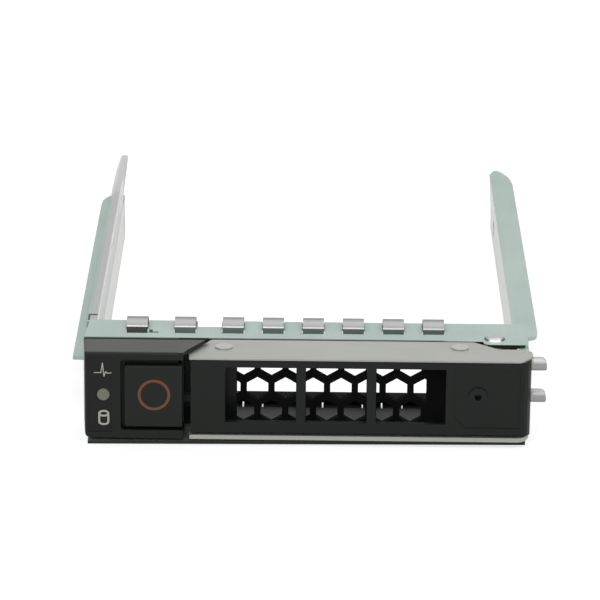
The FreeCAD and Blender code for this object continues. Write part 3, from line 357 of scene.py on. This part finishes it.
def rivet_steel():
    f = Finish("rivet steel")
    wear = f.noise(scale=700, detail=4)
    # Painted highlight on the rim, painted shade where it turns to the side.
    rim = f.fade(1 - f.up, 0.15, 0.25) * (1 - f.past_z(RIM_TOP))
    turned = f.fade(f.side * f.side, 0.08, 0.3)
    base = f.mix(rim, f.mix(wear, *WORN), f.mix(turned, RIM_HIGHLIGHT, RIM_SIDE_SHADE))
    return f.set(Base_Color=base, Metallic=0.9, Roughness=0.28 + 0.2 * wear,
                 Normal=f.bump(wear, 0.1))


FINISHES["rivet_steel"] = rivet_steel()
print("rivet steel nodes:", len(FINISHES["rivet_steel"].node_tree.nodes))

# %% [markdown]
# ## Black mouldings
# The cap, the screen and the fascia are one black plastic with a fine spark-eroded grain. The
# grain is too small to model, so a fast noise feeds a Bump node. The grey of handling sits in
# the high spots as a slightly lighter tone. The button, its ring and the inlay are the same
# kind of plastic with other tones, so one function makes them all.

# %% Plain moulding
GRAIN, SMOOTH_GRAIN = 2600, 1500


def moulding(name, dark, light, rough, grain=GRAIN, strength=0.12, light_and_shade=None):
    f = Finish(name)
    speck = f.noise(scale=grain, detail=2)
    wide = f.noise(scale=120, detail=3)
    base = f.mix(0.35 * speck + 0.65 * wide, colour(*dark), colour(*light))
    gloss = rough + 0.12 * wide
    if light_and_shade:
        base, gloss = light_and_shade(f, base, gloss)
    return f.set(Base_Color=base, Roughness=gloss, Specular_IOR_Level=0.22,
                 Normal=f.bump(speck, strength))


FINISHES["button_plastic"] = moulding("button plastic", (20, 25, 21), (29, 33, 29), 0.4)
FINISHES["ring_paint"] = moulding("ring paint", (112, 72, 52), (134, 86, 62), 0.45)
FINISHES["inlay"] = moulding("inlay", (16, 18, 16), (21, 23, 21), 0.3, SMOOTH_GRAIN,
                             strength=0.04)
print("plain mouldings: button, ring, inlay")

# %% [markdown]
# ## Light and dark inside the housing
# The housing is deep, and its hollows are darker than a small scene makes them. Extra lamps
# and walls could cure that, but they would change the whole picture. Instead a few masks
# paint light and shade on the same plastic where it lies: painted shade in the depth behind
# the handle's windows, painted light in the nook beside the cap, a painted reflection on the
# cap's crown with a painted shadow along the seam behind it, painted light on the floor, and
# a painted highlight on the rim of the rear bar.

# %% Painted light and shade in the housing
DEPTH_SHADE, NOOK_LIGHT = colour(11, 14, 12), colour(88, 99, 92)
CROWN_REFLECTION, SEAM_SHADOW = colour(66, 67, 65), colour(2, 3, 2)
FLOOR_LIGHT, BAR_HIGHLIGHT = colour(34, 38, 35), colour(96, 98, 92)
WINDOWS_LEFT, WINDOWS_DEEP = -11.65, 2.0
NOOK_LEFT, NOOK_RIGHT, NOOK_FRONT, NOOK_TOP = -22.3, -15.1, 6.4, 15.0
CROWN_LOW, SEAM_LOW, SEAM_FRONT = 15.6, 15.2, 6.3
FLOOR_TOP, FLOOR_BACK = 1.1, 15.3
BAR_LOW, BAR_TOP, BAR_FRONT, BAR_BACK = 1.8, 2.2, 17.0, 17.45


def housing_light_and_shade(f, base, gloss):
    level = f.fade(f.up, 0.8, 0.9)
    # Painted shade behind the handle's windows.
    deep = f.past_y(WINDOWS_DEEP, 4) * f.past_x(WINDOWS_LEFT)
    base = f.mix(deep, base, DEPTH_SHADE)
    # Painted light in the nook beside the cap.
    nook = f.past_x(NOOK_LEFT, 0.2) * (1 - f.past_x(NOOK_RIGHT, 0.05))
    nook = nook * f.past_y(NOOK_FRONT, 0.2) * (1 - f.past_z(NOOK_TOP, 0.2)) * (1 - deep)
    base = f.mix(nook, base, NOOK_LIGHT)
    # Painted reflection on the cap's crown.
    base = f.mix(level * f.past_z(CROWN_LOW), base, CROWN_REFLECTION)
    # Painted shadow along the seam behind the crown.
    seam = f.past_z(SEAM_LOW) * f.past_y(SEAM_FRONT)
    base = f.mix(seam, base, SEAM_SHADOW)
    # Painted light on the floor.
    floor = level * (1 - f.past_z(FLOOR_TOP)) * (1 - f.past_y(FLOOR_BACK, 0.2))
    base = f.mix(floor, base, FLOOR_LIGHT)
    # Painted highlight on the rim of the rear bar.
    bar = f.past_z(BAR_LOW, 0.05) * (1 - f.past_z(BAR_TOP))
    bar = bar * f.past_y(BAR_FRONT) * (1 - f.past_y(BAR_BACK, 0.05))
    base = f.mix(bar, base, BAR_HIGHLIGHT)
    return base, gloss + 0.6 * deep * (1 - floor) + 0.4 * seam


FINISHES["black_plastic"] = moulding("black moulding", (17, 21, 18), (26, 30, 27), 0.32,
                                     light_and_shade=housing_light_and_shade)
print("black moulding nodes:", len(FINISHES["black_plastic"].node_tree.nodes))

# %% [markdown]
# ## Light pipe
# A clear plastic bar runs along the left rail and brings light to the front. True clear
# plastic needs many bounces of light, and this bar looks milky anyway, so a little
# transmission over a pale base does the work. Its flank gets a painted light, its core is
# greyer, and where it lies against the sheet the sheet's green is painted in as if seen
# through. A small L-shaped groove near the front is drawn as a painted shadow line.

# %% Light pipe
SHEET_SEEN_THROUGH, CLEAR_SHEET = colour(178, 196, 189), colour(220, 220, 219)
CORE = colour(194, 195, 195), colour(206, 207, 206)
FLANK_LIGHT = colour(246, 246, 245), colour(252, 252, 251)
GROOVE_SHADOW = colour(64, 66, 64)
SHEET_END, CORE_LEFT, FLANK_LEFT = 92.0, -36.55, -35.45
GROOVE_FRONT, GROOVE_BAR, GROOVE_BACK, GROOVE_LEG, GROOVE_RIGHT = 22.4, 25.0, 25.7, -36.6, -35.35


def milky_clear():
    f = Finish("milky clear")
    cloud = f.noise(scale=70, detail=3, stretch=(1, 0.4, 1))
    # Painted see-through green of the sheet beside the rail.
    sheet = f.mix(f.past_y(SHEET_END, 6), SHEET_SEEN_THROUGH, CLEAR_SHEET)
    base = f.mix(f.past_x(CORE_LEFT, 0.25), sheet, f.mix(cloud, *CORE))
    # Painted light on the pipe's flank.
    base = f.mix(f.past_x(FLANK_LEFT, 0.25), base, f.mix(cloud, *FLANK_LIGHT))
    # Painted shadow line for the L-shaped groove.
    bar = f.past_y(GROOVE_BAR, 0.05)
    leg = 1 - f.past_x(GROOVE_LEG, 0.05)
    groove = (bar + leg - bar * leg) * (1 - f.past_x(GROOVE_RIGHT, 0.05))
    groove = groove * f.past_y(GROOVE_FRONT) * (1 - f.past_y(GROOVE_BACK, 0.05))
    base = f.mix(groove * f.fade(f.up, 0.5, 0.6), base, GROOVE_SHADOW)
    return f.set(Base_Color=base, Roughness=0.3 + 0.1 * cloud, Transmission_Weight=0.35,
                 IOR=1.2)


FINISHES["clear_pipe"] = milky_clear()
print("light pipe nodes:", len(FINISHES["clear_pipe"].node_tree.nodes))

# %% [markdown]
# ## Lamp window
# The round window between the two signs is frosted, so that the lamp behind it glows evenly.
# The lamp is off. Frosting could be a true rough glass, but at this size an opaque dull
# yellow with a fine noise looks the same and renders faster.

# %% Lamp window
FROST = colour(112, 112, 98), colour(128, 126, 110)


def lamp_window():
    f = Finish("lamp window")
    frost = f.noise(scale=900, detail=2)
    return f.set(Base_Color=f.mix(frost, *FROST), Roughness=0.3 + 0.1 * frost)


FINISHES["lens"] = lamp_window()
print("finishes:", sorted(FINISHES))

# %% [markdown]
# ## Giving out the finishes
# The frame says which finish each part takes, under a short name. Each could be set by hand
# in the materials panel, but a loop over the frame's own list can't miss one. The rivet in
# the fascia is the one exception: it is pressed in, more polished than its neighbours.

# %% Give every part its finish
def dress(name, finish):
    shape = PART[name].data
    shape.materials.clear()
    shape.materials.append(finish)


for entry in frame["record"]["subparts"]:
    dress(entry["node"], FINISHES[entry["material_slot"]])
dress("fascia_rivet", moulding("black rivet", (16, 19, 17), (24, 27, 25), 0.08,
                               SMOOTH_GRAIN, strength=0.02))

# %% [markdown]
# ## Printed signs
# Two signs are printed on the inlay, a pulse line for activity and a drum for the drive. Each
# is a stroke of even width. A bevelled curve would pinch its stroke at the pulse's sharp
# turns, so every straight piece of a stroke is a flat bar with round ends, a hair thicker
# than ink, and the round ends make the corners. Each bar lies a hair above the last, because
# two faces in one plane would flicker.

# %% One straight piece of a stroke
INK = moulding("sign ink", (176, 176, 166), (198, 198, 188), 0.5, SMOOTH_GRAIN, strength=0.03)
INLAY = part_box("cap_label")[0][1]
INK_T, LAYER = 0.03 * MM, 0.001 * MM
ROUND_STEPS = 6


def bar(work, start, end, width, layer):
    """A flat bar with round ends between two (across, high) points in millimetres."""
    face = INLAY - INK_T - LAYER * layer
    heading = math.atan2(end[1] - start[1], end[0] - start[0])
    rim = []
    for centre, turn in ((end, -0.5), (start, 0.5)):
        for step in range(ROUND_STEPS + 1):
            angle = heading + math.pi * (turn + step / ROUND_STEPS)
            rim.append((centre[0] + width / 2 * math.cos(angle),
                        centre[1] + width / 2 * math.sin(angle)))
    front = [work.verts.new((x * MM, face, z * MM)) for x, z in rim]
    rear = [work.verts.new((x * MM, INLAY, z * MM)) for x, z in rim]
    work.faces.new(front)
    work.faces.new(rear[::-1])
    for n in range(len(rim)):
        work.faces.new((front[n], front[n - 1], rear[n - 1], rear[n]))


print("ink on the inlay's face, mm from the front:", round((INLAY - FRONT) / MM, 2))


# %% A whole sign
def sign(name, lines, width):
    work = bmesh.new()
    pieces = [pair for points in lines for pair in zip(points, points[1:])]
    for layer, (start, end) in enumerate(pieces):
        bar(work, start, end, width, layer)
    bmesh.ops.recalc_face_normals(work, faces=work.faces)
    mesh = bpy.data.meshes.new(name)
    work.to_mesh(mesh)
    work.free()
    mesh.materials.append(INK)
    piece = bpy.data.objects.new(name, mesh)
    bpy.context.collection.objects.link(piece)
    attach(piece, "tray")
    print(name, "bars:", len(pieces))


print("signs are drawn in", INK.name)

# %% The pulse line
PULSE = [(-34.54, 12.31), (-33.46, 12.31), (-33.19, 13.95), (-32.96, 11.7), (-32.7, 12.5),
         (-32.4, 12.22), (-31.8, 12.3)]
PULSE_STROKE = 0.15
sign("pulse_sign", [PULSE], PULSE_STROKE)

# %% The drive drum
DRUM_X, DRUM_HALF, DRUM_TOP, DRUM_LOW, DRUM_TILT = -33.03, 0.74, 5.3, 3.84, 0.42
DRUM_STROKE = 0.32


def oval(x, z, wide, high, steps=20, start=0.0, end=360.0):
    turn = [math.radians(start + (end - start) * n / steps) for n in range(steps + 1)]
    return [(x + wide * math.cos(a), z + high * math.sin(a)) for a in turn]


drum_side = ([(DRUM_X - DRUM_HALF, DRUM_TOP)]
             + oval(DRUM_X, DRUM_LOW, DRUM_HALF, DRUM_TILT, 12, 180, 360)
             + [(DRUM_X + DRUM_HALF, DRUM_TOP)])
sign("drum_sign", [drum_side, oval(DRUM_X, DRUM_TOP, DRUM_HALF, DRUM_TILT)], DRUM_STROKE)

# %% [markdown]
# ## Spring fingers
# Eight fingers of thin spring steel arch over the ledge and press on the bay above, so that
# no radio noise leaks past the drive. They are stamped from one strip, so each has the same
# profile. A finger could be cut and bent as a solid, but its curve shows best as a smooth
# chain of edges. A few points give the arch, and a curve through them gives the rest.

# %% Profile of one finger
ARCH = [(19.68, 13.1), (19.68, 14.3), (19.66, 14.8), (19.5, 15.15), (19.1, 15.42), (18.5, 15.68),
        (17.8, 15.88), (17.1, 15.99), (16.6, 15.98), (16.15, 15.84), (15.7, 15.52),
        (15.35, 15.1), (15.1, 14.6), (14.92, 14.15), (14.65, 13.55)]


def smooth(points, steps=3):
    """A rounder chain through the same (deep, high) points."""
    ends = [points[0]] + points + [points[-1]]
    chain = []
    for before, here, after, beyond in zip(ends, ends[1:], ends[2:], ends[3:]):
        for step in range(steps):
            t = step / steps
            chain.append(tuple(0.5 * (2 * q + (r - p) * t + (2 * p - 5 * q + 4 * r - s) * t * t
                                      + (3 * q - p - 3 * r + s) * t ** 3)
                               for p, q, r, s in zip(before, here, after, beyond)))
    return chain + [points[-1]]


profile = smooth(ARCH)
finger_mesh = bpy.data.meshes.new("finger_profile")
finger_mesh.from_pydata([(0, FRONT + y * MM, z * MM) for y, z in profile],
                        [(n, n + 1) for n in range(len(profile) - 1)], [])
print("profile points:", len(profile))

# %% [markdown]
# ## Repeating the finger
# Eight copies could be placed one by one, but then a change of width means eight changes.
# Geometry Nodes pull the profile to the finger's width and put it on two rows of points: the
# first two fingers stand further apart than the other six. The tree ends in Realize
# Instances, so that the copies become true faces, and in Set Material.

# %% Node tree that repeats the finger
def finger_tree():
    group = bpy.data.node_groups.new("finger strip", "GeometryNodeTree")
    face = group.interface
    face.new_socket("Geometry", in_out="INPUT", socket_type="NodeSocketGeometry")
    for name in ("Width", "First", "First pitch", "Third", "Pitch"):
        face.new_socket(name, in_out="INPUT", socket_type="NodeSocketFloat")
    face.new_socket("Material", in_out="INPUT", socket_type="NodeSocketMaterial")
    face.new_socket("Geometry", in_out="OUTPUT", socket_type="NodeSocketGeometry")
    tree = Tree(group)
    given = tree.add("NodeGroupInput").outputs

    def along(name):
        return tree.add("ShaderNodeCombineXYZ", None, {"X": given[name]}).outputs[0]

    pull = tree.add("GeometryNodeExtrudeMesh", {"mode": "EDGES"},
                    {"Mesh": given["Geometry"], "Offset": along("Width"), "Offset Scale": 1.0})
    rows = tree.add("GeometryNodeJoinGeometry")
    for first, pitch, count in (("First", "First pitch", 2), ("Third", "Pitch", 6)):
        row = tree.add("GeometryNodeMeshLine", None,
                       {"Count": count, "Start Location": along(first),
                        "Offset": along(pitch)})
        tree.put(rows.inputs[0], row.outputs[0])
    copies = tree.add("GeometryNodeInstanceOnPoints", None,
                      {"Points": rows.outputs[0], "Instance": pull.outputs["Mesh"]})
    real = tree.add("GeometryNodeRealizeInstances", None, {0: copies.outputs[0]})
    paint = tree.add("GeometryNodeSetMaterial", None,
                     {"Geometry": real.outputs[0], "Material": given["Material"]})
    tree.add("NodeGroupOutput", None, {0: paint.outputs[0]})
    return group


FINGER_TREE = finger_tree()
print("finger tree nodes:", len(FINGER_TREE.nodes))

# %% Eight fingers as one mesh
FINGER_W, FINGER_T = 3.5, 0.15
FINGER_FIRST, FINGER_SECOND, FINGER_THIRD, FINGER_PITCH = -28.27, -20.32, -12.35, 6.636


def grown(item):
    """The object as it looks with its modifiers, as a plain mesh."""
    bpy.context.view_layer.update()
    graph = bpy.context.evaluated_depsgraph_get()
    return bpy.data.meshes.new_from_object(item.evaluated_get(graph))


draft = bpy.data.objects.new("finger_draft", finger_mesh)
bpy.context.collection.objects.link(draft)
fingers = draft.modifiers.new("fingers", "NODES")
fingers.node_group = FINGER_TREE
SETTINGS = {"Width": FINGER_W * MM, "First": (FINGER_FIRST - FINGER_W / 2) * MM,
            "First pitch": (FINGER_SECOND - FINGER_FIRST) * MM,
            "Third": (FINGER_THIRD - FINGER_W / 2) * MM, "Pitch": FINGER_PITCH * MM,
            "Material": FINISHES["spring_steel"]}
for socket in FINGER_TREE.interface.items_tree:
    if socket.in_out == "INPUT" and socket.name in SETTINGS:
        fingers[socket.identifier] = SETTINGS[socket.name]
strip = bpy.data.objects.new("finger_strip", grown(draft))
bpy.context.collection.objects.link(strip)
bpy.data.objects.remove(draft)
print("finger faces:", len(strip.data.polygons))

# %% [markdown]
# ## The spine that joins the fingers
# All fingers hang on one upright spine behind the ledge, which drops under the ledge's notch.
# Three flat faces are enough for it. The strip is then given its thickness by a Solidify
# modifier, and the result is kept as a plain mesh.

# %% Spine and thickness
SPINE_OVER = 2.2
SPINE_FROM = FINGER_FIRST - SPINE_OVER
SPINE_TO = FINGER_THIRD + 5 * FINGER_PITCH + SPINE_OVER
SPINE_DEEP, SPINE_LOW, SPINE_TOP, NOTCH_TOP = 19.62, 13.1, 14.4, 13.4
NOTCH_LEFT, NOTCH_RIGHT = -18.4, -14.2
work = bmesh.new()
work.from_mesh(strip.data)
for left, right, top in ((SPINE_FROM, NOTCH_LEFT, SPINE_TOP), (NOTCH_LEFT, NOTCH_RIGHT, NOTCH_TOP),
                         (NOTCH_RIGHT, SPINE_TO, SPINE_TOP)):
    work.faces.new([work.verts.new((x * MM, FRONT + SPINE_DEEP * MM, z * MM))
                    for x, z in ((left, SPINE_LOW), (right, SPINE_LOW), (right, top),
                                 (left, top))])
bmesh.ops.recalc_face_normals(work, faces=work.faces)
work.to_mesh(strip.data)
work.free()
thick = strip.modifiers.new("thickness", "SOLIDIFY")
thick.thickness = FINGER_T * MM
thick.offset = 0
strip.data = grown(strip)
strip.modifiers.clear()
for face in strip.data.polygons:
    face.use_smooth = False
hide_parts("emi_strip_top")
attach(strip, "tray")
print("strip faces:", len(strip.data.polygons))

# %% [markdown]
# ## Camera
# A long lens from well in front keeps the two rails almost parallel, as a catalogue view
# does. A short lens close by would spread them. The camera looks down by less than twenty
# degrees, so that both the front and the bay behind it show, and rolls by a hair.

# %% Camera
CAMERA_AT = Vector((-0.25, -567.57, 217.26)) * MM
TILT, TURN, ROLL = math.radians(71.3), math.radians(0.108), math.radians(0.619)
LENS, SENSOR = 223.5, 36.0
camera_data = bpy.data.cameras.new("camera")
camera_data.lens = LENS
camera_data.sensor_width = SENSOR
camera_data.clip_start = 10 * MM
camera = bpy.data.objects.new("camera", camera_data)
bpy.context.collection.objects.link(camera)
pointing = (Matrix.Rotation(TURN, 4, "Z") @ Matrix.Rotation(TILT, 4, "X")
            @ Matrix.Rotation(ROLL, 4, "Z"))
camera.matrix_world = Matrix.Translation(CAMERA_AT + Vector((0, FRONT, 0))) @ pointing
bpy.context.scene.camera = camera
print("camera lens:", LENS)

# %% [markdown]
# ## Room and table
# The caddy is shown on a white table in a white room. If the room truly were as bright as
# white paper, it would wash out every metal, so it gives little light but looks white to the
# camera. A Light Path node tells the two apart. Mirror-like and clear surfaces see most of
# that white too. The table works in the same way and still holds the shadow.

# %% Room
WHITE = (1, 1, 1, 1)
ROOM_LIGHT, ROOM_MIRRORED = 0.42, 0.55


def seen(tree, mirrored):
    """One for a ray that the eye follows, less for one that a glossy surface mirrors."""
    ray = tree.add("ShaderNodeLightPath").outputs
    direct = Value(tree, ray["Is Camera Ray"]) + Value(tree, ray["Is Transmission Ray"])
    return direct + Value(tree, ray["Is Glossy Ray"]) * mirrored


world = bpy.data.worlds.new("room")
bpy.context.scene.world = world
world.use_nodes = True
room = Tree(world.node_tree)
air = room.add("ShaderNodeBackground", None, {"Color": WHITE, "Strength": ROOM_LIGHT})
paper = room.add("ShaderNodeBackground", None, {"Color": WHITE, "Strength": 1.0})
blend = room.add("ShaderNodeMixShader", None, {0: seen(room, ROOM_MIRRORED), 1: air.outputs[0],
                                               2: paper.outputs[0]})
room.add("ShaderNodeOutputWorld", None, {"Surface": blend.outputs[0]})
print("room light:", ROOM_LIGHT)

# %% Table
TABLE_HALF = 3.0
TABLE_GREY, TABLE_GLOW, TABLE_MIRRORED = (0.45, 0.45, 0.45, 1), 0.66, 0.8
table_mesh = bpy.data.meshes.new("table")
table_mesh.from_pydata([(x * TABLE_HALF, y * TABLE_HALF, 0)
                        for x, y in ((-1, -1), (1, -1), (1, 1), (-1, 1))], [], [(0, 1, 2, 3)])
table = bpy.data.objects.new("table", table_mesh)
bpy.context.collection.objects.link(table)
top = Finish("table")
glow = top.add("ShaderNodeEmission", None, {"Color": WHITE, "Strength": TABLE_GLOW})
shown = top.add("ShaderNodeMixShader", None, {0: seen(top, TABLE_MIRRORED), 2: glow.outputs[0]})
both = top.add("ShaderNodeAddShader", None, {0: top.surface.outputs[0], 1: shown.outputs[0]})
top.put(top.output.inputs[0], both.outputs[0])
table_mesh.materials.append(top.set(Base_Color=TABLE_GREY, Roughness=0.9,
                                    Specular_IOR_Level=0.1))
print("table half width in m:", TABLE_HALF)

# %% [markdown]
# ## Lamps
# Three wide area lamps make the light soft: one overhead, one in front, one at the right.
# Small lamps or a sun would give hard edges and hot spots. The wide ones give the metal long
# calm highlights. The Standard view then shows each colour about as it is written.

# %% Lamps
MIDDLE = Vector((0, 0, 0))


def lamp(name, place, wide, power):
    data = bpy.data.lights.new(name, "AREA")
    data.shape = "SQUARE"
    data.size = wide
    data.energy = power
    item = bpy.data.objects.new(name, data)
    bpy.context.collection.objects.link(item)
    place = Vector(place)
    aim = (MIDDLE - place).to_track_quat("-Z", "Y").to_matrix().to_4x4()
    item.matrix_world = Matrix.Translation(place) @ aim


lamp("top_light", (0.0, 0.15, 0.9), 1.6, 9)
lamp("front_light", (-0.25, -0.9, 0.55), 0.6, 2.5)
lamp("side_light", (0.8, -0.3, 0.5), 0.5, 1.5)
bpy.context.scene.view_settings.view_transform = "Standard"
